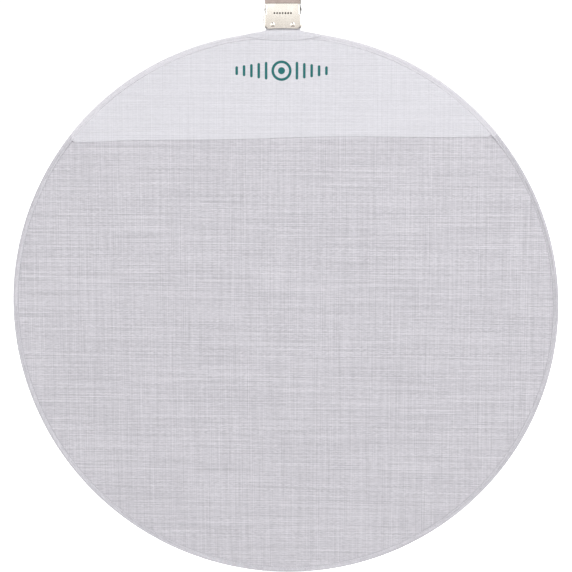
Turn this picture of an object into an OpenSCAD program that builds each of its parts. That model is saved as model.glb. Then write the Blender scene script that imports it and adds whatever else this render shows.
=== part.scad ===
// Collapsible backdrop panel: a round of slubbed cloth, stretched on a sprung steel hoop that twists
// down into coils, with a pocket across its top. It hangs by a cloth tab from a stamped spring clip.
// The origin is the centre of the hanging hole in the clip's rear lever, +Z is up, and the panel's
// front faces -Y.

/* [Panel] */
// Outer diameter over the rim casing
panel_d = 560; // [440:10:800]
// Thickness of one layer of the backdrop cloth
cloth_t = 0.3; // [0.2:0.05:0.35]
// Thickness of the casing tape that wraps the hoop
casing_t = 0.35; // [0.25:0.05:0.5]
// Depth of the pocket, from the top of the rim down to its mouth
pocket_depth = 107; // [80:0.5:180]
// Width of the hem that is turned up behind the pocket's mouth
hem_w = 12; // [8:1:20]
// Tilt of the pocket's mouth as it is sewn, in degrees
mouth_tilt = 1; // [-2:0.1:2]
// Rise of the mouth's middle above its two ends
mouth_bow = 2; // [0.5:0.1:4]
// Radius of the pocket's two lower corners
pocket_corner = 3; // [2:0.5:12]

/* [Hoop] */
// Width of the flat spring band, along the panel's axis
band_w = 2.4; // [1.6:0.2:3]
// Thickness of the band, along the panel's radius
band_t = 0.8; // [0.5:0.1:1]
// Length of the sleeve that joins the band's two ends
ferrule_l = 30; // [24:1:50]
// Diameter of the rivets that hold the band in the sleeve
hoop_rivet_d = 1.2; // [0.8:0.1:1.4]

/* [Hanging tab] */
// Width of the folded cloth tab
tab_w = 34; // [20:1:34]
// Width of the flared foot where the tab is folded over the rim
tab_foot_w = 76; // [50:1:120]
// Thickness of the folded tab
tab_t = 1.2; // [0.8:0.1:1.6]
// Height of the tab that shows between the rim and the clip's mouth
tab_show = 3.6; // [3:0.1:20]
// Length of the tab inside the clip's jaws
tab_grip = 12; // [10:0.5:14]

/* [Clip] */
// Width of the jaws at the mouth
jaw_w = 38.5; // [38:0.5:50]
// Width of the clip's body and levers
body_w = 35; // [35:0.5:38]
// Height of the wide part of the jaws
jaw_h = 14; // [12.5:0.5:14]
// Thickness of the stamped plates
plate_t = 0.8; // [0.6:0.1:1]
// Height of the hinge pin above the mouth
mouth_to_pin = 18.7; // [18.5:0.1:22]
// Height of the shoulder bend above the hinge pin
pin_to_bend = 6.2; // [6:0.1:9]
// Height of the hanging hole above the hinge pin
pin_to_hole = 26.3; // [24:0.1:36]
// Slope of the front lever from upright, in degrees
lever_flare = 35; // [25:1:40]
// Length of the front lever above its bend
lever_l = 17; // [12:0.5:17]
// Diameter of the hanging hole
hole_d = 6.5; // [4:0.5:8]
// Diameter of the hinge pin
pin_d = 3; // [2.5:0.1:3.4]

/* [Hidden] */
$fn = 96;

// Clearances
touch_gap = 0.02;   // between pieces that are folded or pressed together
layer_gap = 0.05;   // between layers of cloth
pin_clearance = 0.03;
rivet_clearance = 0.03;

// Heights, down from the hanging hole
pin_z = -pin_to_hole;
mouth_z = pin_z - mouth_to_pin;
bend_z = pin_z + pin_to_bend;
panel_r = panel_d / 2;
centre_z = mouth_z - tab_show - panel_r;

// Hoop, from the rim inwards
channel_r = panel_r - casing_t;
wrap_t = 0.15;
ferrule_t = 0.3;
wrap_out_r = channel_r - 0.03;
ferrule_out_r = wrap_out_r - wrap_t - touch_gap;
band_out_r = ferrule_out_r - ferrule_t - touch_gap;
band_in_r = band_out_r - band_t;
ferrule_in_r = band_in_r - touch_gap - ferrule_t;
wrap_in_r = ferrule_in_r - touch_gap - wrap_t;
ferrule_half = band_w / 2 + touch_gap + ferrule_t;
wrap_half = ferrule_half + touch_gap + wrap_t;
joint_at = -90;     // the band's ends meet at the foot of the panel
band_gap_deg = 0.3;

// Rim casing: a channel round the hoop that closes on the cloth in two flat legs
channel_half = wrap_half + 0.03;
stack_half = 1.5 * cloth_t + layer_gap;   // back cloth, turned hem and pocket cloth
leg_in_half = stack_half + layer_gap;
leg_out_half = leg_in_half + casing_t;
channel_in_r = wrap_in_r - 0.14;
taper_in_r = channel_in_r - (channel_half - leg_in_half);
casing_in_r = taper_in_r - 1.7;
bead_round = 0.7;
seam_r = casing_in_r + 0.8;
cloth_r = taper_in_r - 0.2;
thread_d = 0.3;
thread_lift = thread_d / 2 + 0.01;
pocket_tack = [6, 1.4, thread_d];
tab_tack = [5, 1.4, thread_d];

// Tab's two plies, which lie over the rim casing and its seam
ply_foot_r = casing_in_r - 3;
ply_foot_half = leg_out_half + 2 * thread_lift + touch_gap;
ply_sweep = 2 * asin(tab_foot_w / 2 / panel_r);

// Pocket
mouth_y = panel_r - pocket_depth;
mouth_half = sqrt(cloth_r * cloth_r - mouth_y * mouth_y);
mouth_arc_r = (mouth_half * mouth_half + mouth_bow * mouth_bow) / (2 * mouth_bow);

// Clip
lever_gap = 6;                        // cloth plane to the middle of the rear lever
shoulder_gap = lever_gap - plate_t / 2;
pad_t = 1.4;
mouth_gap = tab_t / 2 + touch_gap + pad_t;
lean = (shoulder_gap - mouth_gap) / (bend_z - mouth_z);
lean_deg = atan(lean);
ear_r = 4.1;
ear_gap = 0.15;
top_over_hole = 6.5;
pad_w = 35;
pad_low = 0.5;
pad_high = 9.5;
rivet_x = 10;
rivet_up = 4;
rivet_d = 2.2;
rivet_head_d = 4.6;
rivet_head_h = 0.75;
rivet_sphere_r = (pow(rivet_head_d / 2, 2) + pow(rivet_head_h, 2)) / (2 * rivet_head_h);
stamp_side = 1.6;
stamp_pitch = 2.75;
stamp_up = 15.5;

// Spring
wire_d = 1.2;
coil_r = 2.5;
coil_pitch = 1.35;
coil_turns = 7.5;
coil_steps = 16;
wire_sides = 8;

function unit(v) = v / norm(v);
function turned(v, a) = [v[0] * cos(a) - v[1] * sin(a), v[0] * sin(a) + v[1] * cos(a)];

// Half gap from the cloth plane to a jaw plate's inner face
function plate_gap(z) = mouth_gap + (z - mouth_z) * lean;

// Arc of radius r that rounds the corner p1 between p0 and p2
function round_corner(p0, p1, p2, r, steps = 6) =
    let (
        to0 = unit(p0 - p1),
        to2 = unit(p2 - p1),
        half = acos(to0 * to2) / 2,
        centre = p1 + unit(to0 + to2) * r / sin(half),
        first = p1 + to0 * r / tan(half) - centre,
        way = to0[0] * to2[1] - to0[1] * to2[0] > 0 ? -1 : 1
    )
    [for (i = [0:steps]) centre + turned(first, way * (180 - 2 * half) * i / steps)];

// Strip of even thickness t to the left of a path
function strip(path, t) =
    let (
        last = len(path) - 1,
        normals = [for (i = [0:last - 1]) turned(unit(path[i + 1] - path[i]), 90)],
        outer = [
            for (i = [0:last])
                let (
                    n0 = normals[max(i - 1, 0)],
                    n1 = normals[min(i, last - 1)],
                    m = unit(n0 + n1)
                )
                path[i] + m * t / (m * n0)
        ]
    )
    concat(path, [for (i = [last:-1:0]) outer[i]]);

// ---- Frames -----------------------------------------------------------------------------------

// Disc frame: x across, y up, z towards the front, from the panel's centre
module disc_frame() translate([0, -lever_gap, centre_z]) rotate([90, 0, 0]) children();

// Clip frame: the row's axes, with y = 0 in the cloth plane
module clip_frame() translate([0, -lever_gap, 0]) children();

// A (y, z) outline extruded across the clip, and an (x, z) outline extruded front to back
module across(w) rotate([90, 0, 90]) linear_extrude(w, center = true) children();
module facing(d) rotate([90, 0, 0]) linear_extrude(d, center = true) children();

module both_sides() for (flip = [0, 1]) mirror([flip, 0, 0]) children();

// A point on the front plate's inner face, with z along the plate's outward normal
module on_front_plate(x, up)
    translate([x, -plate_gap(mouth_z + up), mouth_z + up])
        rotate([90 + lean_deg, 0, 0])
            children();

// ---- Hoop -------------------------------------------------------------------------------------

module hoop_rivet_places()
    for (side = [-1, 1], along = [0.2, 0.38])
        rotate([0, 0, joint_at + side * along * ferrule_l / panel_r * 180 / PI])
            translate([ferrule_in_r, 0, 0])
                rotate([0, 90, 0])
                    children();

module hoop_rivet_holes() hoop_rivet_places()
    translate([0, 0, -1]) cylinder(d = hoop_rivet_d + 2 * rivet_clearance, h = 4);

module arc_tube(length, r_in, r_out, half, wall) {
    sweep = length / panel_r * 180 / PI;
    rotate([0, 0, joint_at - sweep / 2])
        rotate_extrude(angle = sweep)
            difference() {
                translate([r_in, -half]) square([r_out - r_in, 2 * half]);
                translate([r_in + wall, wall - half])
                    square([r_out - r_in - 2 * wall, 2 * (half - wall)]);
            }
}

module hoop_band() color("lightsteelblue") disc_frame() difference() {
    rotate([0, 0, joint_at + band_gap_deg / 2])
        rotate_extrude(angle = 360 - band_gap_deg)
            translate([band_in_r, -band_w / 2]) square([band_t, band_w]);
    hoop_rivet_holes();
}

module hoop_ferrule() color("silver") disc_frame() difference() {
    arc_tube(ferrule_l, ferrule_in_r, ferrule_out_r, ferrule_half, ferrule_t);
    hoop_rivet_holes();
}

module hoop_rivets() color("dimgray") disc_frame() hoop_rivet_places()
    cylinder(d = hoop_rivet_d, h = ferrule_out_r - ferrule_in_r - touch_gap);

module hoop_joint_wrap() color("black") disc_frame()
    arc_tube(ferrule_l + 8, wrap_in_r, wrap_out_r, wrap_half, wrap_t);

// ---- Cloth ------------------------------------------------------------------------------------

// Half of the rim's outer contour, pushed out by lift, from a flat foot to the panel's edge
function rim_contour(foot_r, foot_half, lift) =
    let (
        top = channel_half + casing_t + lift,
        round_at = [panel_r + lift - bead_round, top - bead_round],
        slope_foot = channel_in_r - (casing_t + lift) * tan(22.5)
    )
    concat(
        [[foot_r, foot_half], [slope_foot - (top - foot_half), foot_half], [slope_foot, top]],
        [for (a = [90:-15:0]) round_at + bead_round * [cos(a), sin(a)]]
    );

// Both halves of a band between an outer and an inner half contour
module rim_band(outer, inner) {
    last_out = len(outer) - 1;
    last_in = len(inner) - 1;
    polygon(concat(
        outer,
        [for (i = [last_out:-1:0]) [outer[i][0], -outer[i][1]]],
        [for (i = [0:last_in]) [inner[i][0], -inner[i][1]]],
        [for (i = [last_in:-1:0]) inner[i]]
    ));
}

module casing_section() rim_band(
    rim_contour(casing_in_r, leg_out_half, 0),
    [
        [casing_in_r, leg_in_half], [taper_in_r, leg_in_half],
        [channel_in_r, channel_half], [channel_r, channel_half]
    ]
);

module rim_casing() color("whitesmoke") disc_frame() rotate_extrude($fn = 192) casing_section();

module backdrop_cloth() color("gainsboro") disc_frame()
    translate([0, 0, -stack_half]) cylinder(r = cloth_r, h = cloth_t, $fn = 192);

// Through the front layer, the fold at the mouth and the hem turned up behind it, out from the
// centre of the mouth's arc
module pocket_section() {
    front_in = 0.5 * cloth_t + layer_gap;
    front_out = front_in + cloth_t;
    fold_r = (front_out + 0.5 * cloth_t) / 2;
    fold_at = [mouth_arc_r + fold_r, front_out - fold_r];
    polygon(concat(
        [for (a = [90:30:270]) fold_at + fold_r * [cos(a), sin(a)]],
        [
            [mouth_arc_r + hem_w, -0.5 * cloth_t], [mouth_arc_r + hem_w, 0.5 * cloth_t],
            [mouth_arc_r + 0.6, 0.5 * cloth_t], [mouth_arc_r + 0.6, front_in],
            [mouth_arc_r + pocket_depth, front_in], [mouth_arc_r + pocket_depth, front_out]
        ]
    ));
}

module along_mouth(half_deg) translate([0, mouth_y + mouth_bow - mouth_arc_r, 0])
    rotate([0, 0, 90 - half_deg])
        rotate_extrude(angle = 2 * half_deg, $fn = 1440)
            children();

// The sharp corner outside the round that joins the mouth to the rim
module pocket_corner_waste() {
    c = [
        sqrt(pow(cloth_r - pocket_corner, 2) - pow(mouth_y + pocket_corner, 2)),
        mouth_y + pocket_corner
    ];
    reach = 4 * pocket_corner;
    difference() {
        polygon([c, [c[0], c[1] - reach], [c[0] + reach, c[1] - reach], c * (1 + reach / norm(c))]);
        translate(c) circle(r = pocket_corner);
    }
}

module pocket_cloth() color("white") disc_frame() rotate([0, 0, mouth_tilt]) difference() {
    intersection() {
        along_mouth(asin((mouth_half + 20) / mouth_arc_r)) pocket_section();
        cylinder(r = cloth_r, h = 8 * cloth_t, center = true, $fn = 192);
    }
    both_sides() translate([0, 0, -5]) linear_extrude(10) pocket_corner_waste();
}

// The tab's upright part, with straight slopes down to the ends of its foot
module tab_outline() {
    half = tab_w / 2;
    shoulder = panel_r + 2;
    foot_half = tab_foot_w / 2;
    foot = sqrt(panel_r * panel_r - foot_half * foot_half);
    top = panel_r + tab_show + tab_grip;
    polygon([
        [-foot_half, foot], [foot_half, foot], [half, shoulder],
        [half, top], [-half, top], [-half, shoulder]
    ]);
}

// A folded loop of cloth whose two plies go down over the rim and are sewn below it
module hanging_tab() color("whitesmoke") disc_frame() {
    difference() {
        translate([0, 0, -tab_t / 2]) linear_extrude(tab_t) tab_outline();
        cylinder(r = panel_r + touch_gap, h = 4 * tab_t, center = true, $fn = 192);
    }
    rotate([0, 0, 90 - ply_sweep / 2])
        rotate_extrude(angle = ply_sweep, $fn = 192)
            rim_band(
                rim_contour(ply_foot_r, ply_foot_half + cloth_t, touch_gap + cloth_t),
                rim_contour(ply_foot_r, ply_foot_half, touch_gap)
            );
}

// ---- Threads ----------------------------------------------------------------------------------

module rim_seam_thread(at) disc_frame()
    translate([0, 0, at]) rotate_extrude($fn = 192) translate([seam_r, 0]) circle(d = thread_d, $fn = 16);

module rim_seam_needle_thread() color("snow") rim_seam_thread(leg_out_half + thread_lift);
module rim_seam_bobbin_thread() color("snow") rim_seam_thread(-leg_out_half - thread_lift);

// One row of stitches along the top of the turned hem
module hem_seam_thread() color("snow") disc_frame() rotate([0, 0, mouth_tilt])
    translate([0, 0, stack_half + thread_lift])
        along_mouth(asin((mouth_half - 16) / mouth_arc_r))
            translate([mouth_arc_r + hem_w - 2, 0]) circle(d = thread_d, $fn = 16);

// Short dense rows that stop the mouth tearing at its two ends
module pocket_bar_tacks() color("snow") disc_frame() rotate([0, 0, mouth_tilt]) both_sides()
    translate([mouth_half - 15, mouth_y + 1.9, stack_half + thread_lift])
        cube(pocket_tack, center = true);

// The rows that close the foot of the tab's plies, front and back
module tab_seam_threads() color("snow") disc_frame() for (face = [-1, 1])
    translate([0, 0, face * (ply_foot_half + cloth_t + thread_lift)])
        rotate([0, 0, 90 - ply_sweep / 2 + 0.3])
            rotate_extrude(angle = ply_sweep - 0.6, $fn = 192)
                translate([ply_foot_r + 1.2, 0]) circle(d = thread_d, $fn = 16);

// Short dense rows on both faces of the tab, just above the rim
module tab_bar_tacks() color("snow") disc_frame() both_sides() for (face = [-1, 1])
    translate([tab_w / 2 - 4, panel_r + 1.6, face * (tab_t / 2 + thread_lift)])
        cube(tab_tack, center = true);

// ---- Clip -------------------------------------------------------------------------------------

// Upright rectangle with its own corner radius at the foot and at the head
module rounded_plate(half, low, high, foot_r, head_r) {
    translate([-half, low + foot_r]) square([2 * half, high - low - foot_r - head_r]);
    translate([-half + foot_r, low]) square([2 * (half - foot_r), foot_r + 0.01]);
    translate([-half + head_r, high - head_r - 0.01]) square([2 * (half - head_r), head_r + 0.01]);
    both_sides() {
        translate([half - foot_r, low + foot_r]) circle(r = foot_r);
        translate([half - head_r, high - head_r]) circle(r = head_r);
    }
}

// Wide jaw at the mouth, narrower body and lever above it
module jaw_outline(top, head_r) {
    rounded_plate(jaw_w / 2, mouth_z, mouth_z + jaw_h, 5, 1.5);
    rounded_plate(body_w / 2, mouth_z + jaw_h - 4, top, 1, head_r);
}

// Side wall that carries the hinge pin, drawn for the rear jaw
module ear_outline() {
    low = pin_z - 5.5;
    high = pin_z + 5;
    polygon([
        [plate_gap(low) + plate_t / 2, low], [0, pin_z - ear_r],
        [0, pin_z + ear_r], [plate_gap(high) + plate_t / 2, high]
    ]);
    translate([0, pin_z]) circle(r = ear_r);
}

module ears(outer_half) both_sides()
    translate([outer_half - plate_t / 2, 0, 0]) across(plate_t) ear_outline();

module pin_bore() translate([0, 0, pin_z]) rotate([0, 90, 0])
    cylinder(d = pin_d + 2 * pin_clearance, h = 2 * jaw_w, center = true);

module rivet_bores() both_sides() on_front_plate(rivet_x, rivet_up)
    cylinder(d = rivet_d + 2 * rivet_clearance, h = 12, center = true);

// Row of small lozenges stamped in the front plate
module stamped_row() for (i = [-3:3])
    on_front_plate(stamp_pitch * i, stamp_up)
        translate([0, 0, plate_t - 0.2])
            rotate([0, 0, 45])
                linear_extrude(1) square(stamp_side, center = true);

module front_jaw() color("lightgray") clip_frame() {
    flare = [-sin(lever_flare), cos(lever_flare)];
    foot = [-mouth_gap, mouth_z];
    knee = [-shoulder_gap, bend_z];
    tip = knee + lever_l * flare;
    side = strip(concat([foot], round_corner(foot, knee, tip, 2), [tip]), plate_t);
    difference() {
        union() {
            intersection() {
                across(jaw_w + 2) polygon(side);
                facing(80) jaw_outline(tip[1] + 0.3, 5);
            }
            mirror([0, 1, 0]) ears(body_w / 2);
        }
        pin_bore();
        rivet_bores();
        stamped_row();
    }
}

module rear_jaw() color("lightgray") clip_frame() {
    foot = [mouth_gap, mouth_z];
    knee = [shoulder_gap, bend_z];
    top = [shoulder_gap, top_over_hole];
    side = strip(concat([foot], round_corner(foot, knee, top, 4), [top]), -plate_t);
    difference() {
        union() {
            intersection() {
                across(jaw_w + 2) polygon(side);
                facing(80) jaw_outline(top_over_hole, 8);
            }
            ears(body_w / 2 - plate_t - ear_gap);
        }
        pin_bore();
        mirror([0, 1, 0]) rivet_bores();
        rotate([90, 0, 0]) cylinder(d = hole_d, h = 40, center = true);
    }
}

// Straight pin with a peened dome outside each front ear
module hinge_pin() color("silver") clip_frame() translate([0, 0, pin_z]) rotate([0, 90, 0]) {
    head_at = body_w / 2 + 0.05;
    dome_r = 3.6;
    cylinder(d = pin_d, h = 2 * head_at, center = true);
    for (side = [0, 180])
        rotate([side, 0, 0])
            intersection() {
                translate([0, 0, head_at]) cylinder(d = 4.8, h = 1);
                translate([0, 0, head_at + 0.9 - dome_r]) sphere(r = dome_r);
            }
}

// Grip pad, wedge-shaped so that its grooved face is upright against the tab
module front_pad_body() clip_frame() {
    face = -tab_t / 2 - touch_gap;
    low = mouth_z + pad_low;
    high = mouth_z + pad_high;
    difference() {
        across(pad_w) polygon([
            [face, low], [face, high],
            [-plate_gap(high) + touch_gap, high], [-plate_gap(low) + touch_gap, low]
        ]);
        for (z = [low + 1.5:2:high - 1])
            across(pad_w + 2) polygon([[face + 0.1, z - 0.5], [face - 0.35, z], [face + 0.1, z + 0.5]]);
        rivet_bores();
        both_sides() on_front_plate(rivet_x, rivet_up)
            translate([0, 0, -6 - 0.8]) cylinder(d = rivet_head_d - 0.6, h = 6);
    }
}

// Domed outside, with a flat head sunk in the pad
module front_rivet_body(side) clip_frame() on_front_plate(side * rivet_x, rivet_up) {
    translate([0, 0, -1]) cylinder(d = rivet_d, h = plate_t + 1 + 0.05);
    translate([0, 0, -1.2]) cylinder(d = rivet_head_d - 1, h = 0.38);
    intersection() {
        translate([0, 0, plate_t + touch_gap]) cylinder(d = rivet_head_d + 1, h = 1);
        translate([0, 0, plate_t + touch_gap + rivet_head_h - rivet_sphere_r])
            sphere(r = rivet_sphere_r);
    }
}

// The rear pad and its rivets are the front ones mirrored in the cloth plane
module turned_over() translate([0, -2 * lever_gap, 0]) mirror([0, 1, 0]) children();

module front_pad() color("dimgray") front_pad_body();
module front_pad_left_rivet() color("silver") front_rivet_body(-1);
module front_pad_right_rivet() color("silver") front_rivet_body(1);
module rear_pad() color("dimgray") turned_over() front_pad_body();
module rear_pad_left_rivet() color("silver") turned_over() front_rivet_body(-1);
module rear_pad_right_rivet() color("silver") turned_over() front_rivet_body(1);

// ---- Spring -----------------------------------------------------------------------------------

// Rear leg down into the coil, round the pin, and up again as the front leg
coil_x0 = -coil_turns * coil_pitch / 2;
rear_leg = [
    [coil_x0, shoulder_gap - 0.65, pin_z + 12],
    [coil_x0, shoulder_gap - 1.2, pin_z + 8],
    [coil_x0, coil_r + 0.4, pin_z + 3.5]
];
front_leg = [
    [-coil_x0, -coil_r - 0.5, pin_z + 2.5],
    [-coil_x0, -plate_gap(pin_z + 4.5) + 0.9, pin_z + 4.5],
    [-coil_x0, -plate_gap(pin_z + 5.8) + 0.65, pin_z + 5.8]
];
coil = [
    for (i = [0:coil_turns * coil_steps])
        let (a = -360 * i / coil_steps)
        [coil_x0 + coil_pitch * i / coil_steps, coil_r * cos(a), pin_z + coil_r * sin(a)]
];

// Round wire of diameter d swept along a path that never runs along X
module wire(path, d) {
    last = len(path) - 1;
    rings = [
        for (i = [0:last])
            let (
                along = unit(path[min(i + 1, last)] - path[max(i - 1, 0)]),
                flat = unit([1, 0, 0] - along * along[0]),
                lift = cross(along, flat)
            )
            for (k = [0:wire_sides - 1])
                let (a = 360 * k / wire_sides)
                path[i] + d / 2 * (flat * cos(a) + lift * sin(a))
    ];
    walls = [
        for (i = [0:last - 1], k = [0:wire_sides - 1])
            let (a = i * wire_sides + k, b = i * wire_sides + (k + 1) % wire_sides)
            [a, b, b + wire_sides, a + wire_sides]
    ];
    caps = [
        [for (k = [wire_sides - 1:-1:0]) k],
        [for (k = [0:wire_sides - 1]) last * wire_sides + k]
    ];
    polyhedron(points = rings, faces = concat(walls, caps));
}

module torsion_spring() color("slategray") clip_frame()
    wire(concat(rear_leg, coil, front_leg), wire_d);

// ---- Parts ------------------------------------------------------------------------------------

hoop_band();
hoop_ferrule();
hoop_rivets();
hoop_joint_wrap();
rim_casing();
backdrop_cloth();
pocket_cloth();
hanging_tab();
rim_seam_needle_thread();
rim_seam_bobbin_thread();
hem_seam_thread();
pocket_bar_tacks();
tab_seam_threads();
tab_bar_tacks();
rear_jaw();
hinge_pin();
torsion_spring();
rear_pad();
rear_pad_left_rivet();
rear_pad_right_rivet();
front_jaw();
front_pad();
front_pad_left_rivet();
front_pad_right_rivet();
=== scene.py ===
"""Collapsible backdrop panel: slubbed cloth stretched on a sprung hoop, hung from a stamped clip.

The working meshes are in millimetres, in the disc frame (x across, y up and z forwards from the
panel's centre) or in the clip frame (the model's own axes, with y = 0 in the plane of the cloth).
"""
import bisect
import math

import bmesh
import bpy
from mathutils import Matrix, Vector


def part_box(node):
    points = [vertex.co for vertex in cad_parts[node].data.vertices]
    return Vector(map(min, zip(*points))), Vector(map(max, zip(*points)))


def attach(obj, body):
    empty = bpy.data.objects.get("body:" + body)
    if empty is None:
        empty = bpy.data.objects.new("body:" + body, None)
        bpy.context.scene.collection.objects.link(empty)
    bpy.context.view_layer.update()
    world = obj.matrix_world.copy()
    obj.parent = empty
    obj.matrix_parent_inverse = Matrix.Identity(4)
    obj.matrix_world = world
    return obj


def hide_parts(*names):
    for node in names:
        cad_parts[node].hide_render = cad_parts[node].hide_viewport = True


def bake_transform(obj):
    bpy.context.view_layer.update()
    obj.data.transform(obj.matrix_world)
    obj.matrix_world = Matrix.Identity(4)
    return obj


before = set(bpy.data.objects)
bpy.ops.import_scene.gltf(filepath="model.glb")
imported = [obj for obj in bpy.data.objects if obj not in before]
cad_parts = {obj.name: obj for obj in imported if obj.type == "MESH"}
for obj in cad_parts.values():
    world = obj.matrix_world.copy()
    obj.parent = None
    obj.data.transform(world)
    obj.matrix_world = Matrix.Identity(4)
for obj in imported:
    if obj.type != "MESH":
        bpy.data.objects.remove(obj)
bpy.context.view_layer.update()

# ---- Places taken from the frame ----------------------------------------------------------------

MM = 0.001
casing_low, casing_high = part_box("rim_casing")
pin_low, pin_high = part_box("hinge_pin")
jaw_low, jaw_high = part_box("rear_jaw")
CLOTH_Y = (casing_low.y + casing_high.y) / 2
CENTRE_Z = (casing_low.z + casing_high.z) / 2
PANEL_R = (casing_high.x - casing_low.x) / 2 / MM
JAW_HALF = (jaw_high.x - jaw_low.x) / 2 / MM
PIN_HEAD = 0.95                   # how far each peened head stands past the body
BODY_HALF = (pin_high.x - pin_low.x) / 2 / MM - PIN_HEAD
CASING_HALF = (casing_high.y - casing_low.y) / 2 / MM
PIN_Z = (pin_low.z + pin_high.z) / 2 / MM
MOUTH_Z = jaw_low.z / MM
HEAD_Z = jaw_high.z / MM
TAB_TOP = (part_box("hanging_tab")[1].z - CENTRE_Z) / MM
UPRIGHT = Matrix.Rotation(math.pi / 2, 4, "X")
DISC = Matrix.Translation((0, CLOTH_Y, CENTRE_Z)) @ UPRIGHT @ Matrix.Scale(MM, 4)
CLIP = Matrix.Translation((0, CLOTH_Y, 0)) @ Matrix.Scale(MM, 4)

# ---- Sizes that the CAD model shares, in millimetres --------------------------------------------

CLOTH_T = 0.3
CASING_T = 0.35
CLOTH_R = PANEL_R - 3.67          # the cloths' cut edge, inside the casing
BACK_AT = -0.35                   # middle of each layer, in front of the cloth plane
POCKET_AT = 0.35
LEG_AT = 0.725                    # middle of the casing's legs
CASING_IN_R = PANEL_R - 5.17
CROWN = 1.45                      # middle of the casing over the hoop
JOINT_CROWN = CASING_HALF - CASING_T / 2
SEAM_R = PANEL_R - 4.37
JOINT_HALF = 19.0                 # half length of the wrapped sleeve at the foot of the hoop
THREAD_D = 0.3
STITCH_PITCH = 3.0

MOUTH_Y = PANEL_R - 107
MOUTH_TILT = math.radians(1.0)
MOUTH_BOW = 2.0
MOUTH_HALF = math.sqrt(CLOTH_R ** 2 - MOUTH_Y ** 2)
CORNER_R = 3.0
RIM_ROUND = 6.0                   # the same corner, as it shows through the casing
HEM_W = 12.0

TAB_HALF = 17.0
TAB_FOOT_HALF = 38.0
TAB_FOOT_R = PANEL_R - 8.17
TAB_FOOT_EDGE = math.sqrt((PANEL_R - 1.5) ** 2 - TAB_FOOT_HALF ** 2)
TAB_CREST = CROWN + CASING_T / 2 + CLOTH_T / 2 + 0.02
TAB_PLY = 0.42                    # middle of each ply where the tab is pressed flat

PLATE_T = 0.8
MOUTH_GAP = 2.02                  # cloth plane to the inner face of a jaw plate
LEAN = math.radians(8.18)
BEND_UP = 25.156                  # mouth to shoulder bend, along the plate
EAR_R = 4.1
PIN_BORE_R = 1.53
RIVET_X, RIVET_UP, RIVET_BORE_R = 10.0, 4.0, 1.13
LEVER_FLARE = math.radians(35)
JAW_CORNER_R = 5.0
EAR_TOP = 5.0                     # pin to the top of an ear's flap
MOUTH_CUT = 0.5                   # hollow of a jaw's lower edge
JAW_BLANK = JAW_HALF + 0.15       # half width of a jaw before its edges are bent
FLANGE = math.radians(38)
FLANGE_W = 2.1
STAMP_PITCH, STAMP_R, STAMP_UP = 2.75, 1.15, 15.5


def mix(a, b, share):
    return a + (b - a) * share


def smoothstep(low, high, value):
    t = min(max((value - low) / (high - low), 0), 1)
    return t * t * (3 - 2 * t)


# ---- Shader helpers -----------------------------------------------------------------------------

def fill(tree, node, inputs):
    """Gives a node its inputs: each is a value, or another node's output to link."""
    for key, value in inputs.items():
        if isinstance(value, bpy.types.NodeSocket):
            tree.links.new(value, node.inputs[key])
        else:
            node.inputs[key].default_value = value


def add(tree, kind, inputs=(), **settings):
    """One node, with its inputs and settings."""
    node = tree.nodes.new(kind)
    for key, value in settings.items():
        setattr(node, key, value)
    fill(tree, node, dict(inputs))
    return node


def calc(tree, operation, *values):
    node = add(tree, "ShaderNodeMath", dict(enumerate(values)), operation=operation)
    return node.outputs[0]


def blur_step(tree, low, high, value):
    """Smooth 0 to 1 as value goes from low to high."""
    inputs = {"Value": value, "From Min": low, "From Max": high}
    return add(tree, "ShaderNodeMapRange", inputs, interpolation_type="SMOOTHSTEP").outputs[0]


def patches(tree, vector, scale, detail=2.0, roughness=0.5, dimensions="3D"):
    """Noise about 0.5, stretched by a scale in repeats per metre along each axis."""
    placed = add(tree, "ShaderNodeMapping", {"Vector": vector, "Scale": scale})
    inputs = {"Vector": placed.outputs[0], "Scale": 1.0, "Detail": detail, "Roughness": roughness}
    return add(tree, "ShaderNodeTexNoise", inputs, noise_dimensions=dimensions).outputs[0]


def tinted(tree, factor, dark, light):
    """Colour from dark to light as the factor goes from 0 to 1."""
    node = add(tree, "ShaderNodeMix", {0: factor, 6: (*dark, 1), 7: (*light, 1)}, data_type="RGBA")
    return node.outputs[2]


def new_group(name, inputs, outputs):
    """An empty node group with named sockets, and its two end nodes."""
    tree = bpy.data.node_groups.new(name, "ShaderNodeTree")
    for socket_name, value in inputs.items():
        kind = "NodeSocketFloat" if value is not None else "NodeSocketVector"
        socket = tree.interface.new_socket(socket_name, in_out="INPUT", socket_type=kind)
        if value is not None:
            socket.default_value = value
    for socket_name in outputs:
        tree.interface.new_socket(socket_name, in_out="OUTPUT", socket_type="NodeSocketFloat")
    return tree, tree.nodes.new("NodeGroupInput").outputs, tree.nodes.new("NodeGroupOutput").inputs


def use_group(tree, group, inputs):
    node = tree.nodes.new("ShaderNodeGroup")
    node.node_tree = group
    fill(tree, node, inputs)
    return node.outputs


def new_material(name):
    """A material with one Principled shader, as (material, tree, shader inputs)."""
    material = bpy.data.materials.new(name)
    material.use_nodes = True
    shader = material.node_tree.nodes["Principled BSDF"]
    return material, material.node_tree, shader.inputs


def set_bump(tree, shader, height, distance, strength=1.0):
    bump = add(tree, "ShaderNodeBump", {"Height": height, "Distance": distance, "Strength": strength})
    tree.links.new(bump.outputs[0], shader["Normal"])


def object_place(tree):
    return tree.nodes.new("ShaderNodeTexCoord").outputs["Object"]


def flat_place(tree):
    """Object coordinates of a cloth in the panel's plane, as (across, up, 0)."""
    split = add(tree, "ShaderNodeSeparateXYZ", {0: object_place(tree)})
    return add(tree, "ShaderNodeCombineXYZ", {"X": split.outputs["X"], "Y": split.outputs["Z"]}).outputs[0]


# ---- Shared effects -----------------------------------------------------------------------------

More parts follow.
